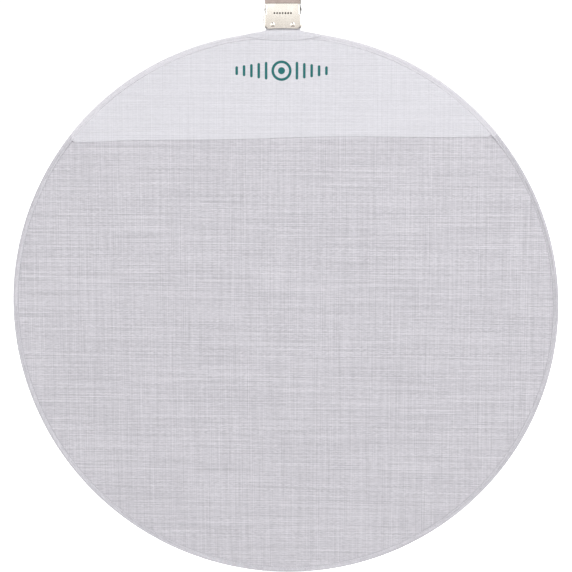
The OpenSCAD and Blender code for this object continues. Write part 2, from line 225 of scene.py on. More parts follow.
def yarn_slubs(tree, vector, scale, across, slide):
    """Thick and thin lengths about 0. Each yarn's are slid along it, by noise across the yarns."""
    placed = add(tree, "ShaderNodeMapping", {"Vector": vector, "Scale": scale}).outputs[0]
    own = patches(tree, vector, across, 0.0, 0.5, "2D")
    offset = add(tree, "ShaderNodeVectorMath", {0: slide, 3: own}, operation="SCALE").outputs[0]
    moved = add(tree, "ShaderNodeVectorMath", {0: placed, 1: offset}, operation="ADD").outputs[0]
    inputs = {"Vector": moved, "Scale": 1.0, "Detail": 1.2}
    noise = add(tree, "ShaderNodeTexNoise", inputs, noise_dimensions="2D").outputs[0]
    return calc(tree, "SUBTRACT", noise, 0.5)


def slubbed_weave_group():
    """Plain weave of uneven yarns on (across, up) in metres: thick slubs along both directions."""
    inputs = {"Vector": None, "Pitch": 0.0007, "Weft slubs": 0.5, "Warp slubs": 0.4}
    tree, given, out = new_group("slubbed weave", inputs, ["Shade", "Height"])
    drift = patches(tree, given["Vector"], (45, 45, 1), 1.0, 0.5, "2D")
    shift = calc(tree, "MULTIPLY", calc(tree, "SUBTRACT", drift, 0.5), 0.0012)
    wandering = add(tree, "ShaderNodeVectorMath", {0: given["Vector"], 1: shift}, operation="ADD").outputs[0]
    yarn = add(tree, "ShaderNodeSeparateXYZ", {0: wandering})
    waves = []
    for axis in ("X", "Y"):
        turns = calc(tree, "DIVIDE", yarn.outputs[axis], given["Pitch"])
        waves.append(calc(tree, "SINE", calc(tree, "MULTIPLY", turns, math.pi)))
    over = calc(tree, "MULTIPLY", waves[0], waves[1])
    crowns = [calc(tree, "ABSOLUTE", wave) for wave in waves]
    opening = calc(tree, "SUBTRACT", 1.0, blur_step(tree, 0.15, 0.6, calc(tree, "MAXIMUM", *crowns)))
    weft = yarn_slubs(tree, given["Vector"], (15, 900, 1), (0, 470, 1), (9, 0, 0))
    warp = yarn_slubs(tree, given["Vector"], (850, 14, 1), (430, 0, 1), (0, 9, 0))
    knots = yarn_slubs(tree, given["Vector"], (310, 950, 1), (0, 510, 1), (9, 0, 0))
    slubs = calc(tree, "MULTIPLY", weft, given["Weft slubs"])
    slubs = calc(tree, "MULTIPLY_ADD", warp, given["Warp slubs"], slubs)
    shade = calc(tree, "MULTIPLY_ADD", calc(tree, "MULTIPLY", knots, given["Weft slubs"]), 0.75, slubs)
    shade = calc(tree, "MULTIPLY_ADD", opening, -0.5, calc(tree, "ADD", shade, 0.55))
    tree.links.new(shade, out["Shade"])
    relief = calc(tree, "MULTIPLY_ADD", over, 0.3, calc(tree, "MAXIMUM", *crowns))
    tree.links.new(calc(tree, "ADD", relief, slubs), out["Height"])
    return tree


def handling_wear_group():
    """Fine scratches and cloudy rubbed patches on plated metal."""
    tree, given, out = new_group("handling wear", {"Vector": None, "Grain": 1.0}, ["Rub", "Scratch"])
    cloud = patches(tree, given["Vector"], (160, 160, 110), 3.0, 0.6)
    fine = patches(tree, given["Vector"], (5200, 5200, 260), 2.0, 0.6)
    cross = patches(tree, given["Vector"], (420, 420, 4200), 1.0, 0.5)
    scratch = calc(tree, "MULTIPLY", blur_step(tree, 0.56, 0.72, cross), blur_step(tree, 0.5, 0.62, cloud))
    grain = calc(tree, "MULTIPLY", calc(tree, "SUBTRACT", fine, 0.5), given["Grain"])
    tree.links.new(blur_step(tree, 0.36, 0.66, cloud), out["Rub"])
    tree.links.new(calc(tree, "ADD", grain, calc(tree, "MULTIPLY", scratch, 0.6)), out["Scratch"])
    return tree


def printed_mark_group():
    """A plain printed ornament, a ring between two rows of bars, as a mask on (across, up)."""
    ring_r, stroke = 0.0088, 0.0013
    bar_first, bar_pitch, bars = 0.0155, 0.0074, 5
    tree, given, out = new_group("printed mark", {"Vector": None}, ["Mask"])
    split = add(tree, "ShaderNodeSeparateXYZ", {0: given["Vector"]})
    reach = add(tree, "ShaderNodeVectorMath", {0: given["Vector"]}, operation="LENGTH").outputs["Value"]
    ring = calc(tree, "SUBTRACT", calc(tree, "ABSOLUTE", calc(tree, "SUBTRACT", reach, ring_r)), stroke)
    dot = calc(tree, "SUBTRACT", reach, 0.0035)
    along = calc(tree, "SUBTRACT", calc(tree, "ABSOLUTE", split.outputs["X"]), bar_first - bar_pitch / 2)
    number = calc(tree, "FLOOR", calc(tree, "DIVIDE", along, bar_pitch))
    middle = calc(tree, "MULTIPLY", calc(tree, "ADD", number, 0.5), bar_pitch)
    half = calc(tree, "MULTIPLY_ADD", number, -0.0011, 0.0075)
    beyond = calc(tree, "SUBTRACT", calc(tree, "ABSOLUTE", split.outputs["Y"]), half)
    gap = add(tree, "ShaderNodeCombineXYZ", {"X": calc(tree, "SUBTRACT", along, middle),
                                             "Y": calc(tree, "MAXIMUM", beyond, 0.0)}).outputs[0]
    bar = add(tree, "ShaderNodeVectorMath", {0: gap}, operation="LENGTH").outputs["Value"]
    bar = calc(tree, "SUBTRACT", bar, stroke)
    from_middle = calc(tree, "ABSOLUTE", calc(tree, "SUBTRACT", number, (bars - 1) / 2))
    past = calc(tree, "GREATER_THAN", from_middle, bars / 2)
    bar = calc(tree, "ADD", bar, past)
    nearest = calc(tree, "MINIMUM", calc(tree, "MINIMUM", ring, dot), bar)
    tree.links.new(blur_step(tree, 0.00015, -0.00015, nearest), out["Mask"])
    return tree


WEAVE = slubbed_weave_group()
WEAR = handling_wear_group()
MARK = printed_mark_group()


# ---- Materials ----------------------------------------------------------------------------------

def above_mouth(tree):
    """1 where the pocket doubles the cloth, down to its mouth and the round that ends it at the rim."""
    split = add(tree, "ShaderNodeSeparateXYZ", {0: flat_place(tree)})
    level = calc(tree, "MULTIPLY_ADD", split.outputs["X"], -math.tan(MOUTH_TILT), split.outputs["Y"])
    round_y = MOUTH_Y + RIM_ROUND
    round_x = math.sqrt(PANEL_R ** 2 - round_y ** 2) - RIM_ROUND
    beyond = calc(tree, "SUBTRACT", calc(tree, "ABSOLUTE", split.outputs["X"]), round_x * MM)
    below = calc(tree, "SUBTRACT", CENTRE_Z + round_y * MM, level)
    corner = add(tree, "ShaderNodeCombineXYZ", {"X": calc(tree, "MAXIMUM", beyond, 0.0),
                                                "Y": calc(tree, "MAXIMUM", below, 0.0)}).outputs[0]
    away = add(tree, "ShaderNodeVectorMath", {0: corner}, operation="LENGTH").outputs["Value"]
    return blur_step(tree, (RIM_ROUND + 0.4) * MM, (RIM_ROUND - 0.4) * MM, away)


def cloth_finish(name, dark, light, weft=1.0, warp=0.7, on_rim=False, doubled=0.0, printed=False):
    """Sheer slubbed cloth, from its thin places to its thick ones, paler where it is doubled."""
    material, tree, shader = new_material(name)
    place = tree.nodes.new("ShaderNodeUVMap").outputs[0] if on_rim else flat_place(tree)
    weave = use_group(tree, WEAVE, {"Vector": place, "Weft slubs": weft, "Warp slubs": warp})
    shade = weave["Shade"]
    if doubled:
        shade = calc(tree, "MULTIPLY_ADD", above_mouth(tree), doubled, shade)
    if on_rim:
        # Painted shade along the outer fold, where the tape turns away round the hoop
        across = add(tree, "ShaderNodeSeparateXYZ", {0: place}).outputs["Y"]
        painted_fold_shade = blur_step(tree, 0.0008, 0.0019, calc(tree, "ABSOLUTE", across))
        painted_fold_shade = calc(tree, "SUBTRACT", 1.0, painted_fold_shade)
        shade = calc(tree, "MULTIPLY_ADD", painted_fold_shade, -0.4, shade)
    colour = tinted(tree, shade, dark, light)
    if printed:
        across, up = MARK_PLACE
        centred = add(tree, "ShaderNodeMapping", {"Vector": place, "Location": (-across, -up, 0)})
        ink = use_group(tree, MARK, {"Vector": centred.outputs[0]})["Mask"]
        inked = tinted(tree, shade, INK_THIN, INK_THICK)
        colour = add(tree, "ShaderNodeMix", {0: ink, 6: colour, 7: inked}, data_type="RGBA").outputs[2]
    tree.links.new(colour, shader["Base Color"])
    shader["Roughness"].default_value = 0.85
    shader["Specular IOR Level"].default_value = 0.25
    shader["Sheen Weight"].default_value = 0.15
    shader["Sheen Roughness"].default_value = 0.5
    set_bump(tree, shader, weave["Height"], 0.00008, 0.6)
    return material


def thread_finish():
    """Twisted polyester thread."""
    material, tree, shader = new_material("white sewing thread")
    place = object_place(tree)
    twist = patches(tree, place, (2600, 2600, 2600), 2.0, 0.6)
    tree.links.new(tinted(tree, twist, (0.66, 0.65, 0.69), (0.86, 0.85, 0.88)), shader["Base Color"])
    shader["Roughness"].default_value = 0.55
    shader["Sheen Weight"].default_value = 0.2
    set_bump(tree, shader, twist, 0.00006)
    return material


def metal_finish(name, dull, bright, rough_low, rough_high, grain=1.0):
    """Plated or drawn metal with a fine grain, rubbed patches and a few scratches."""
    material, tree, shader = new_material(name)
    wear = use_group(tree, WEAR, {"Vector": object_place(tree), "Grain": grain})
    tree.links.new(tinted(tree, wear["Rub"], dull, bright), shader["Base Color"])
    rough = {"Value": wear["Rub"], "To Min": rough_high, "To Max": rough_low}
    tree.links.new(add(tree, "ShaderNodeMapRange", rough).outputs[0], shader["Roughness"])
    shader["Metallic"].default_value = 1.0
    set_bump(tree, shader, wear["Scratch"], 0.00001, 0.35)
    return material


def rubber_finish():
    """Moulded nitrile rubber with a fine matt skin."""
    material, tree, shader = new_material("moulded grip rubber")
    place = object_place(tree)
    skin = patches(tree, place, (3000, 3000, 3000), 3.0, 0.65)
    bloom = patches(tree, place, (120, 120, 120), 2.0, 0.5)
    colour = tinted(tree, bloom, (0.012, 0.012, 0.013), (0.035, 0.034, 0.034))
    tree.links.new(colour, shader["Base Color"])
    tree.links.new(blur_step(tree, -1.2, 1.1, bloom), shader["Roughness"])
    set_bump(tree, shader, skin, 0.00008)
    return material


def tape_finish():
    """Black cloth tape round the hoop's joint."""
    material, tree, shader = new_material("black joint tape")
    weave = use_group(tree, WEAVE, {"Vector": flat_place(tree), "Pitch": 0.0005})
    colour = tinted(tree, weave["Shade"], (0.008, 0.008, 0.009), (0.03, 0.03, 0.032))
    tree.links.new(colour, shader["Base Color"])
    shader["Roughness"].default_value = 0.6
    set_bump(tree, shader, weave["Height"], 0.00006)
    return material


MARK_DOWN = 38.0                  # panel's top to the middle of the printed mark
MARK_PLACE = (-0.0015, CENTRE_Z + (PANEL_R - MARK_DOWN) * MM)
INK_THIN, INK_THICK = (0.03, 0.19, 0.19), (0.012, 0.13, 0.13)
SINGLE_CLOTH = ((0.42, 0.41, 0.445), (0.76, 0.74, 0.785))
DOUBLED_CLOTH = ((0.55, 0.545, 0.58), (0.845, 0.835, 0.885))
TAPE_CLOTH = ((0.43, 0.42, 0.455), (0.76, 0.745, 0.79))
BACKDROP = cloth_finish("slubbed backdrop cloth", *SINGLE_CLOTH, 1.35, 0.85, doubled=0.25)
POCKET = cloth_finish("slubbed pocket cloth", *DOUBLED_CLOTH, 0.75, 0.5, printed=True)
TAB = cloth_finish("folded tab cloth", *DOUBLED_CLOTH, 0.75, 0.5)
CASING = cloth_finish("casing tape cloth", *TAPE_CLOTH, 0.7, 0.4, on_rim=True, doubled=0.4)
# Stamp marks are flat: their dark colour is painted shade standing in for pressed recesses
STAMP_RECESS_SHADE = metal_finish("stamp marks painted with recess shade", (0.015, 0.012, 0.01), (0.05, 0.04, 0.035), 0.5, 0.65)
THREAD = thread_finish()
NICKEL = metal_finish("satin nickel plate", (0.81, 0.775, 0.715), (0.86, 0.83, 0.775), 0.19, 0.25)
RIVET = metal_finish("nickel rivet", (0.74, 0.71, 0.66), (0.84, 0.81, 0.76), 0.14, 0.22)
PIN = metal_finish("zinc plated steel", (0.45, 0.45, 0.45), (0.72, 0.72, 0.71), 0.22, 0.4)
SPRING = metal_finish("drawn spring wire", (0.16, 0.16, 0.17), (0.42, 0.42, 0.43), 0.25, 0.42, 1.5)
HOOP = metal_finish("blued hoop steel", (0.10, 0.12, 0.17), (0.30, 0.33, 0.38), 0.2, 0.36, 1.5)
RUBBER = rubber_finish()
TAPE = tape_finish()


# ---- Making pieces ------------------------------------------------------------------------------

ACROSS = Vector((1, 0, 0))
UP = Vector((0, 1, 0))


def new_piece(name, mesh, material):
    mesh.name = name
    mesh.materials.append(material)
    mesh.shade_smooth()
    piece = bpy.data.objects.new(name, mesh)
    bpy.context.scene.collection.objects.link(piece)
    return piece


def settle(name, bm, place, material, body):
    """Turns a working mesh into a piece at its place in the model, riding on a body."""
    bmesh.ops.transform(bm, matrix=place, verts=bm.verts)
    mesh = bpy.data.meshes.new(name)
    bm.to_mesh(mesh)
    bm.free()
    piece = new_piece(name, mesh, material)
    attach(piece, body)
    return piece


def thicken(piece, thickness):
    """Gives a sheet its thickness, half on each side."""
    shell = piece.modifiers.new("thickness", "SOLIDIFY")
    shell.thickness = thickness * MM
    shell.offset = 0
    shell.use_quality_normals = True


def cut(bm, along, places):
    """Cuts a flat mesh across by lines square to a direction, at these places along it."""
    for at in places:
        everything = bm.verts[:] + bm.edges[:] + bm.faces[:]
        bmesh.ops.bisect_plane(bm, geom=everything, dist=1e-5, plane_co=at * along, plane_no=along)


def steps(first, last, pitch):
    """Even places from first to last, about a pitch apart."""
    count = max(round(abs(last - first) / pitch), 1)
    return [first + (last - first) * i / count for i in range(count + 1)]


# ---- Cloth --------------------------------------------------------------------------------------

def tension(x, y):
    """How far the stretched cloths stand out of their plane, which fades to nothing at the rim."""
    r = math.hypot(x, y)
    broad = 0.34 * math.sin(x / 43 + 0.8) * math.cos(y / 57 - 0.4)
    slant = 0.2 * math.sin((x + 1.6 * y) / 38) + 0.1 * math.sin((1.9 * x - y) / 31 + 2)
    pucker = 0.1 * math.sin(64 * math.atan2(y, x)) * smoothstep(228, 258, r)
    fade = 1 - smoothstep(235, 270, r)
    return (broad + slant + pucker) * fade


def backdrop_cloth():
    bm = bmesh.new()
    bmesh.ops.create_circle(bm, cap_ends=True, segments=384, radius=CLOTH_R)
    bm.faces.ensure_lookup_table()
    middle = bm.faces[0]
    edge_ring, edge_rings, rings, core_r = 2.0, 4, 34, 12
    widths = [edge_ring] * edge_rings + [(CLOTH_R - core_r) / rings] * (rings - 1)
    for width in widths:
        bmesh.ops.inset_individual(bm, faces=[middle], thickness=width, use_even_offset=True)
    bmesh.ops.poke(bm, faces=[middle])
    for vert in bm.verts:
        vert.co.z = BACK_AT + tension(vert.co.x, vert.co.y)
    piece = settle("backdrop_cloth_round", bm, DISC, BACKDROP, "panel")
    thicken(piece, CLOTH_T)
    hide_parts("backdrop_cloth")


def mouth_rise(x):
    """Height of the pocket's mouth above its two ends: a bow with a slow wave in it."""
    share = min(abs(x) / MOUTH_HALF, 1)
    wave = 0.7 * math.sin(x / 34)
    return MOUTH_BOW * (1 - share ** 2) + wave * (1 - share ** 4)


def pocket_place(x, y):
    """A point of the pocket, drawn with a straight level mouth, as it lies on the panel."""
    up = y - MOUTH_Y
    inner = 1 - smoothstep(0.86, 1.0, abs(x) / MOUTH_HALF)
    y += mouth_rise(x) * (1 - smoothstep(5, 70, up))
    px = x * math.cos(MOUTH_TILT) - y * math.sin(MOUTH_TILT)
    py = x * math.sin(MOUTH_TILT) + y * math.cos(MOUTH_TILT)
    loose = 0.14 * inner * (1 - smoothstep(0, 46, up))
    ridge = 0.08 * smoothstep(0, 2, up) * (1 - smoothstep(HEM_W - 1.5, HEM_W + 1, up)) * inner
    at_seam = 1 - smoothstep(0, 6, abs(up - HEM_W + 2))
    gather = 0.05 * math.sin(x * math.pi / STITCH_PITCH / 1.5) * at_seam
    return Vector((px, py, tension(px, py) + loose + ridge + gather * inner))


def pocket_cloth():
    corner_y = MOUTH_Y + CORNER_R
    corner_x = math.sqrt((CLOTH_R - CORNER_R) ** 2 - corner_y ** 2)
    meets = math.degrees(math.atan2(corner_y, corner_x))
    outline = list(arc(0, 0, CLOTH_R, meets, 180 - meets, 400))
    outline += arc(-corner_x, corner_y, CORNER_R, 180 - meets, 270, 8)
    outline += arc(corner_x, corner_y, CORNER_R, -90, meets, 8)
    bm = bmesh.new()
    bmesh.ops.contextual_create(bm, geom=closed_line(bm, outline))
    bmesh.ops.remove_doubles(bm, verts=bm.verts, dist=1e-4)
    rows = [MOUTH_Y + up for up in (1, 3, 5, 7, 8.5, 10, 11.5, 13, 15)]
    cut(bm, UP, rows + steps(MOUTH_Y + 18, CLOTH_R - 2, 5.5))
    cut(bm, ACROSS, steps(-CLOTH_R + 2, CLOTH_R - 2, 3))
    rim = [e for e in bm.edges if e.is_boundary and all(abs(v.co.y - MOUTH_Y) < 1e-3 for v in e.verts)]
    for vert in bm.verts:
        vert.co.z = POCKET_AT
    turn = POCKET_AT / 2
    fold = []
    for degrees in (45, 90, 135, 180):
        a = math.radians(degrees)
        fold.append((-turn * math.sin(a), turn * (1 + math.cos(a))))
    for up, front in fold + [(HEM_W * i / 6, 0.0) for i in range(1, 7)]:
        grown = bmesh.ops.extrude_edge_only(bm, edges=rim)["geom"]
        rim = [e for e in grown if isinstance(e, bmesh.types.BMEdge)]
        for vert in {v for e in rim for v in e.verts}:
            vert.co.y = MOUTH_Y + up
            vert.co.z = front
    for vert in bm.verts:
        front = vert.co.z
        vert.co = pocket_place(vert.co.x, vert.co.y) + Vector((0, 0, front))
    piece = settle("pocket_cloth_hemmed", bm, DISC, POCKET, "panel")
    thicken(piece, CLOTH_T)
    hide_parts("pocket_cloth")


def leg_drop(angle):
    """How far the casing's front leg sinks where there is no pocket layer under it."""
    layer_drop = 0.62
    level = PANEL_R * math.sin(angle - MOUTH_TILT)
    return layer_drop * (1 - smoothstep(MOUTH_Y - 14, MOUTH_Y + 2, level))


def rim_casing():
    """Tape folded over the hoop, pinched in by each stitch of its seam."""
    top = CROWN
    crown_r = PANEL_R - CASING_T / 2
    bead, edge_sink, pinch, joint_taper = 0.525, 0.32, 0.09, 12
    half = [(r, LEG_AT) for r in (CASING_IN_R, SEAM_R - 0.3, SEAM_R + 0.3, PANEL_R - 3.6)]
    half += [(PANEL_R - 3.0, mix(LEG_AT, top, 0.3)), (PANEL_R - 2.4, mix(LEG_AT, top, 0.7))]
    half += [(PANEL_R - 1.8, top), (PANEL_R - 1.4, top + 0.02)]
    for degrees in (90, 60, 30, 0):
        a = math.radians(degrees)
        half.append((crown_r - bead + bead * math.cos(a), top - bead + bead * math.sin(a)))
    section = half + [(crown_r + 0.03, 0.0)] + [(r, -z) for r, z in reversed(half)]
    bm = bmesh.new()
    verts = [bm.verts.new((r, 0, z)) for r, z in section]
    edges = [bm.edges.new(pair) for pair in zip(verts, verts[1:])]
    stitches = round(2 * math.pi * SEAM_R / STITCH_PITCH)
    bmesh.ops.spin(bm, geom=verts + edges, cent=(0, 0, 0), axis=(0, 0, 1), angle=2 * math.pi,
                   steps=2 * stitches, use_merge=True)
    bmesh.ops.recalc_face_normals(bm, faces=bm.faces)
    for vert in bm.verts:
        r = math.hypot(vert.co.x, vert.co.y)
        angle = math.atan2(vert.co.y, vert.co.x)
        drawn = smoothstep(SEAM_R, SEAM_R + 1.2, r) * (1 - smoothstep(PANEL_R - 2.9, PANEL_R - 1.6, r))
        slack = 0.03 * math.sin(23 * angle) + 0.02 * math.sin(57 * angle + 1)
        vert.co.z *= 1 + pinch * drawn * math.cos(stitches * angle) + slack * drawn
        from_joint = PANEL_R * abs(angle + math.pi / 2)
        at_joint = 1 - smoothstep(JOINT_HALF, JOINT_HALF + joint_taper, from_joint)
        over_hoop = smoothstep(PANEL_R - 3.6, PANEL_R - 2.4, r)
        vert.co.z *= 1 + (JOINT_CROWN / CROWN - 1) * at_joint * over_hoop
        if vert.co.z > 0:
            vert.co.z -= leg_drop(angle) * (1 - smoothstep(SEAM_R + 0.3, PANEL_R - 2.2, r))
            vert.co.z -= edge_sink * (1 - smoothstep(CASING_IN_R, SEAM_R - 0.2, r))
    measure_rim(bm)
    piece = settle("rim_casing_tape", bm, DISC, CASING, "panel")
    thicken(piece, CASING_T)
    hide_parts("rim_casing")
    lengths = [math.dist(a, b) for a, b in zip(section, section[1:])]


def measure_rim(bm):
    """Lays a UV map in metres along the rim and across the tape."""
    uv = bm.loops.layers.uv.new("UVMap")
    for face in bm.faces:
        centre = face.calc_center_median()
        whole = math.atan2(centre.y, centre.x)
        for loop in face.loops:
            x, y, z = loop.vert.co
            turned = (math.atan2(y, x) - whole + math.pi) % (2 * math.pi) - math.pi
            side = 1 if z >= 0 else -1
            across = z + side * (PANEL_R - math.hypot(x, y))
            loop[uv].uv = ((whole + turned) * PANEL_R * MM, across * MM)


def tab_lift(r):
    """Middle of a ply in front of the cloth plane, over the casing and up to the folded tab."""
    over_seam = LEG_AT + CASING_T / 2 + THREAD_D + 0.04
    rise = min(max((r - TAB_FOOT_R) / (SEAM_R - 0.2 - TAB_FOOT_R), 0), 1)
    foot = mix(POCKET_AT + 0.13, over_seam, rise)
    over_slope = mix(foot, TAB_CREST, smoothstep(PANEL_R - 4.3, PANEL_R - 2.3, r))
    return mix(over_slope, TAB_PLY, smoothstep(PANEL_R + 0.8, PANEL_R + 4.2, r))


def tab_half(y):
    """Half width of the tab's outline at a height of its edge."""
    flare_low = math.sqrt(PANEL_R ** 2 - TAB_FOOT_HALF ** 2)
    return mix(TAB_FOOT_HALF, TAB_HALF, smoothstep(flare_low - 0.3, PANEL_R + 2.2, y))


def hanging_tab():
    """A loop of cloth, flared where its two plies go down over the rim."""
    columns, ply_rows = 44, 44
    crease_x, crease_w = -12.5, 0.7
    fold_r = TAB_PLY
    top = TAB_TOP - fold_r - CLOTH_T / 2
    rows = []
    for share in steps(0, 1, 1 / ply_rows):
        edge_y = mix(TAB_FOOT_EDGE, top, share)
        rows.append((mix(TAB_FOOT_R, top, share ** 0.94), edge_y, None))
    fold = [(top + fold_r * math.sin(a), fold_r * math.cos(a)) for a in (0.5, 1.05, math.pi / 2)]
    rows += [(y, y, front) for y, front in fold]
    bm = bmesh.new()
    bmesh.ops.create_grid(bm, x_segments=columns, y_segments=2 * (len(rows) - 1), size=1)
    last = len(rows) - 1
    for vert in bm.verts:
        across = vert.co.x
        row = round((vert.co.y + 1) * last)
        side = 1 if row <= last else -1
        middle_y, edge_y, front = rows[row if row <= last else 2 * last - row]
        x = across * tab_half(edge_y)
        y = mix(middle_y, edge_y, across ** 2)
        if front is None:
            front = tab_lift(math.hypot(x, y))
            crease = math.exp(-((x - crease_x) / crease_w) ** 2) * smoothstep(PANEL_R - 7, PANEL_R - 1, y)
            below_clip = 1 - smoothstep(PANEL_R + 1, PANEL_R + 3, y)
            front += (0.12 * crease + 0.06 * math.sin(x / 3.1 + y / 5)) * below_clip
        vert.co = (x, y, side * front)
    bmesh.ops.recalc_face_normals(bm, faces=bm.faces)
    piece = settle("hanging_tab_loop", bm, DISC, TAB, "panel")
    thicken(piece, CLOTH_T)
    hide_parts("hanging_tab")


# ---- Threads ------------------------------------------------------------------------------------

def stitch(length):
    """One stitch along x, arched, with both ends drawn down into the cloth."""
    narrowing, sink = 0.35, 0.26
    bm = bmesh.new()
    turned = Matrix.Rotation(math.pi / 2, 4, "Y")
    bmesh.ops.create_cone(bm, cap_ends=True, segments=6, radius1=THREAD_D / 2, radius2=THREAD_D / 2,
                          depth=length, matrix=turned)
    cut(bm, ACROSS, [-0.3 * length, 0, 0.3 * length])
    for vert in bm.verts:
        share = abs(vert.co.x) / (length / 2)
        vert.co.y *= 1 - narrowing * share ** 3
        vert.co.z -= sink * share ** 3
    mesh = bpy.data.meshes.new("stitch")
    bm.to_mesh(mesh)
    bm.free()
    return mesh


def sewn(name, nodes, places, length):
    """A piece of stitches at places in the disc frame, each a matrix with x along the thread."""
    template = stitch(length)
    size = len(template.vertices)
    bm = bmesh.new()
    for place in places:
        bm.from_mesh(template)
        bmesh.ops.transform(bm, matrix=place, verts=list(bm.verts)[-size:])
    bpy.data.meshes.remove(template)
    piece = settle(name, bm, DISC, THREAD, "panel")
    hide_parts(*nodes)


def thread_place(x, y, z, angle, side=1):
    """A thread laid at a point of the front or back face, turned by an angle in the plane."""
    turn = Matrix.Rotation(angle, 4, "Z")
    face = Matrix.Identity(4) if side > 0 else Matrix.Rotation(math.pi, 4, "X")
    return Matrix.Translation((x, y, side * z)) @ turn @ face


def arc_places(r, z, first, last, side, sinks=False):
    """Places of the stitches along an arc of the rim, sinking with the casing's leg if told to."""
    count = round(r * (last - first) / STITCH_PITCH)
    for i in range(count):
        a = first + (last - first) * (i + 0.5) / count
        sunk = leg_drop(a) if sinks else 0
        yield thread_place(r * math.cos(a), r * math.sin(a), z - sunk, a + math.pi / 2, side)


def bar_tack(x, y, z, angle, side=1, length=6.0):
    """Close slanted rows across a short bar."""
    row_pitch, lean = 0.5, 0.16
    count = round(length / row_pitch)
    for i in range(count):
        along = length * ((i + 0.5) / count - 0.5)
        dx = along * math.cos(angle)
        dy = along * math.sin(angle)
        slant = lean if i % 2 else -lean
        yield thread_place(x + dx, y + dy, z + 0.04 * (i % 2), angle + math.pi / 2 + slant, side)


def pocket_thread(x, up, angle):
    at = pocket_place(x, MOUTH_Y + up)
    return thread_place(at.x, at.y, at.z + POCKET_AT + CLOTH_T / 2 + 0.13, MOUTH_TILT + angle)


def sewing():
    long_stitch, short_stitch = 2.35, 1.4
    rim_rise, seam_rise, tack_rise = 0.06, 0.02, 0.12
    leg = LEG_AT + CASING_T / 2 + rim_rise
    whole = 2 * math.pi
    needle = arc_places(SEAM_R, leg, 0, whole, 1, sinks=True)
    bobbin = arc_places(SEAM_R, leg, 0, whole, -1)
    sewn("rim_seam_needle_stitches", ["rim_seam_needle_thread"], needle, long_stitch)
    sewn("rim_seam_bobbin_stitches", ["rim_seam_bobbin_thread"], bobbin, long_stitch)
    end = MOUTH_HALF - 16
    hem = [pocket_thread(x, HEM_W - 2, 0) for x in steps(-end, end, STITCH_PITCH)]
    sewn("hem_seam_stitches", ["hem_seam_thread"], hem, long_stitch)
    tacks = []
    for side in (-1, 1):
        at = pocket_place(side * (MOUTH_HALF - 15), MOUTH_Y + 1.9)
        tacks += bar_tack(at.x, at.y, at.z + POCKET_AT + CLOTH_T / 2 + tack_rise, MOUTH_TILT)
    sewn("pocket_corner_bar_tacks", ["pocket_bar_tacks"], tacks, short_stitch)
    rise = (TAB_FOOT_EDGE - TAB_FOOT_R) / TAB_FOOT_HALF ** 2
    seams = []
    tacks = []
    for side in (-1, 1):
        for x in steps(-TAB_FOOT_HALF + 3, TAB_FOOT_HALF - 3, STITCH_PITCH):
            y = TAB_FOOT_R + rise * x ** 2 + 1.2
            lift = tab_lift(math.hypot(x, y)) + CLOTH_T / 2 + seam_rise
            seams.append(thread_place(x, y, lift, math.atan(2 * rise * x), side))
        for x in (-TAB_HALF + 4, TAB_HALF - 4):
            y = PANEL_R + 2.1
            lift = tab_lift(math.hypot(x, y)) + CLOTH_T / 2 + tack_rise
            tacks += bar_tack(x, y, lift, 0, side, 5.0)
    sewn("tab_seam_stitches", ["tab_seam_threads"], seams, long_stitch)
    sewn("tab_bar_tack_stitches", ["tab_bar_tacks"], tacks, short_stitch)


# ---- Clip ---------------------------------------------------------------------------------------

class PressedProfile:
    """Side view of a plate's middle: a line whose slope from upright changes along its length."""

    def __init__(self, foot, slopes, fineness=0.1):
        self.at = [0.0]
        self.points = [Vector(foot)]
        self.slopes = slopes
        self.pitch = fineness
        while self.at[-1] < slopes[-1][0]:
            slope = self.slope(self.at[-1] + fineness / 2)
            self.points.append(self.points[-1] + fineness * Vector((-math.sin(slope), math.cos(slope))))
            self.at.append(self.at[-1] + fineness)

    def slope(self, s):
        knots = self.slopes
        i = min(max(bisect.bisect([k[0] for k in knots], s), 1), len(knots) - 1)
        (s0, a0), (s1, a1) = knots[i - 1], knots[i]
        return mix(a0, a1, min(max((s - s0) / (s1 - s0), 0), 1))

    def place(self, s, inward=0.0):
        """The (y, z) point at a length s from the mouth, moved in from the plate."""
        i = min(max(int(s / self.pitch), 0), len(self.points) - 2)
        point = self.points[i].lerp(self.points[i + 1], s / self.pitch - i)
        slope = self.slope(s)
        return point + inward * Vector((math.cos(slope), math.sin(slope)))

    def foot_of(self, point):
        """The length s whose normal passes through a point, and the point's distance from there."""
        s = min(self.at, key=lambda s: (self.place(s) - Vector(point)).length)
        return s, (self.place(s) - Vector(point)).length


def arc(x, y, r, first, last, count=6):
    """Points on an arc, from one direction to another in degrees."""
    for i in range(count + 1):
        a = math.radians(mix(first, last, i / count))
        yield (x + r * math.cos(a), y + r * math.sin(a))


def circle(x, y, r, sides):
    """Corners of a whole circle, for a hole or a mark."""
    return arc(x, y, r, 0, 360 - 360 / sides, sides - 1)


def plate_blank(fold_x, ear_s, ear_x, end_s, head_r):
    """Right half of a plate's flat outline, from the mouth up: jaw, ear flap, then lever."""
    slit, notch, shoulder_r = 0.4, 1.1, 1.5
    jaw_top = ear_s - EAR_R - slit
    ear_top = ear_s + EAR_TOP
    relief_x = fold_x - 0.3
    corner_x = JAW_BLANK - JAW_CORNER_R
    for x in (3, 6, 9, 12):
        yield (x, MOUTH_CUT * (1 - (x / corner_x) ** 2))
    yield from arc(corner_x, JAW_CORNER_R, JAW_CORNER_R, -90, 0, 8)
    yield from arc(JAW_BLANK - shoulder_r, jaw_top - shoulder_r, shoulder_r, 0, 90, 4)
    yield (relief_x, jaw_top)
    yield (relief_x, jaw_top + slit)
    yield from arc(ear_x, ear_s, EAR_R, -90, 80, 16)
    yield (fold_x + 3.5, ear_top)
    yield (relief_x, ear_top)
    yield (relief_x, ear_top + notch)
    yield (BODY_HALF, ear_top + notch)
    yield from arc(BODY_HALF - head_r, end_s - head_r, head_r, 0, 90, 12)


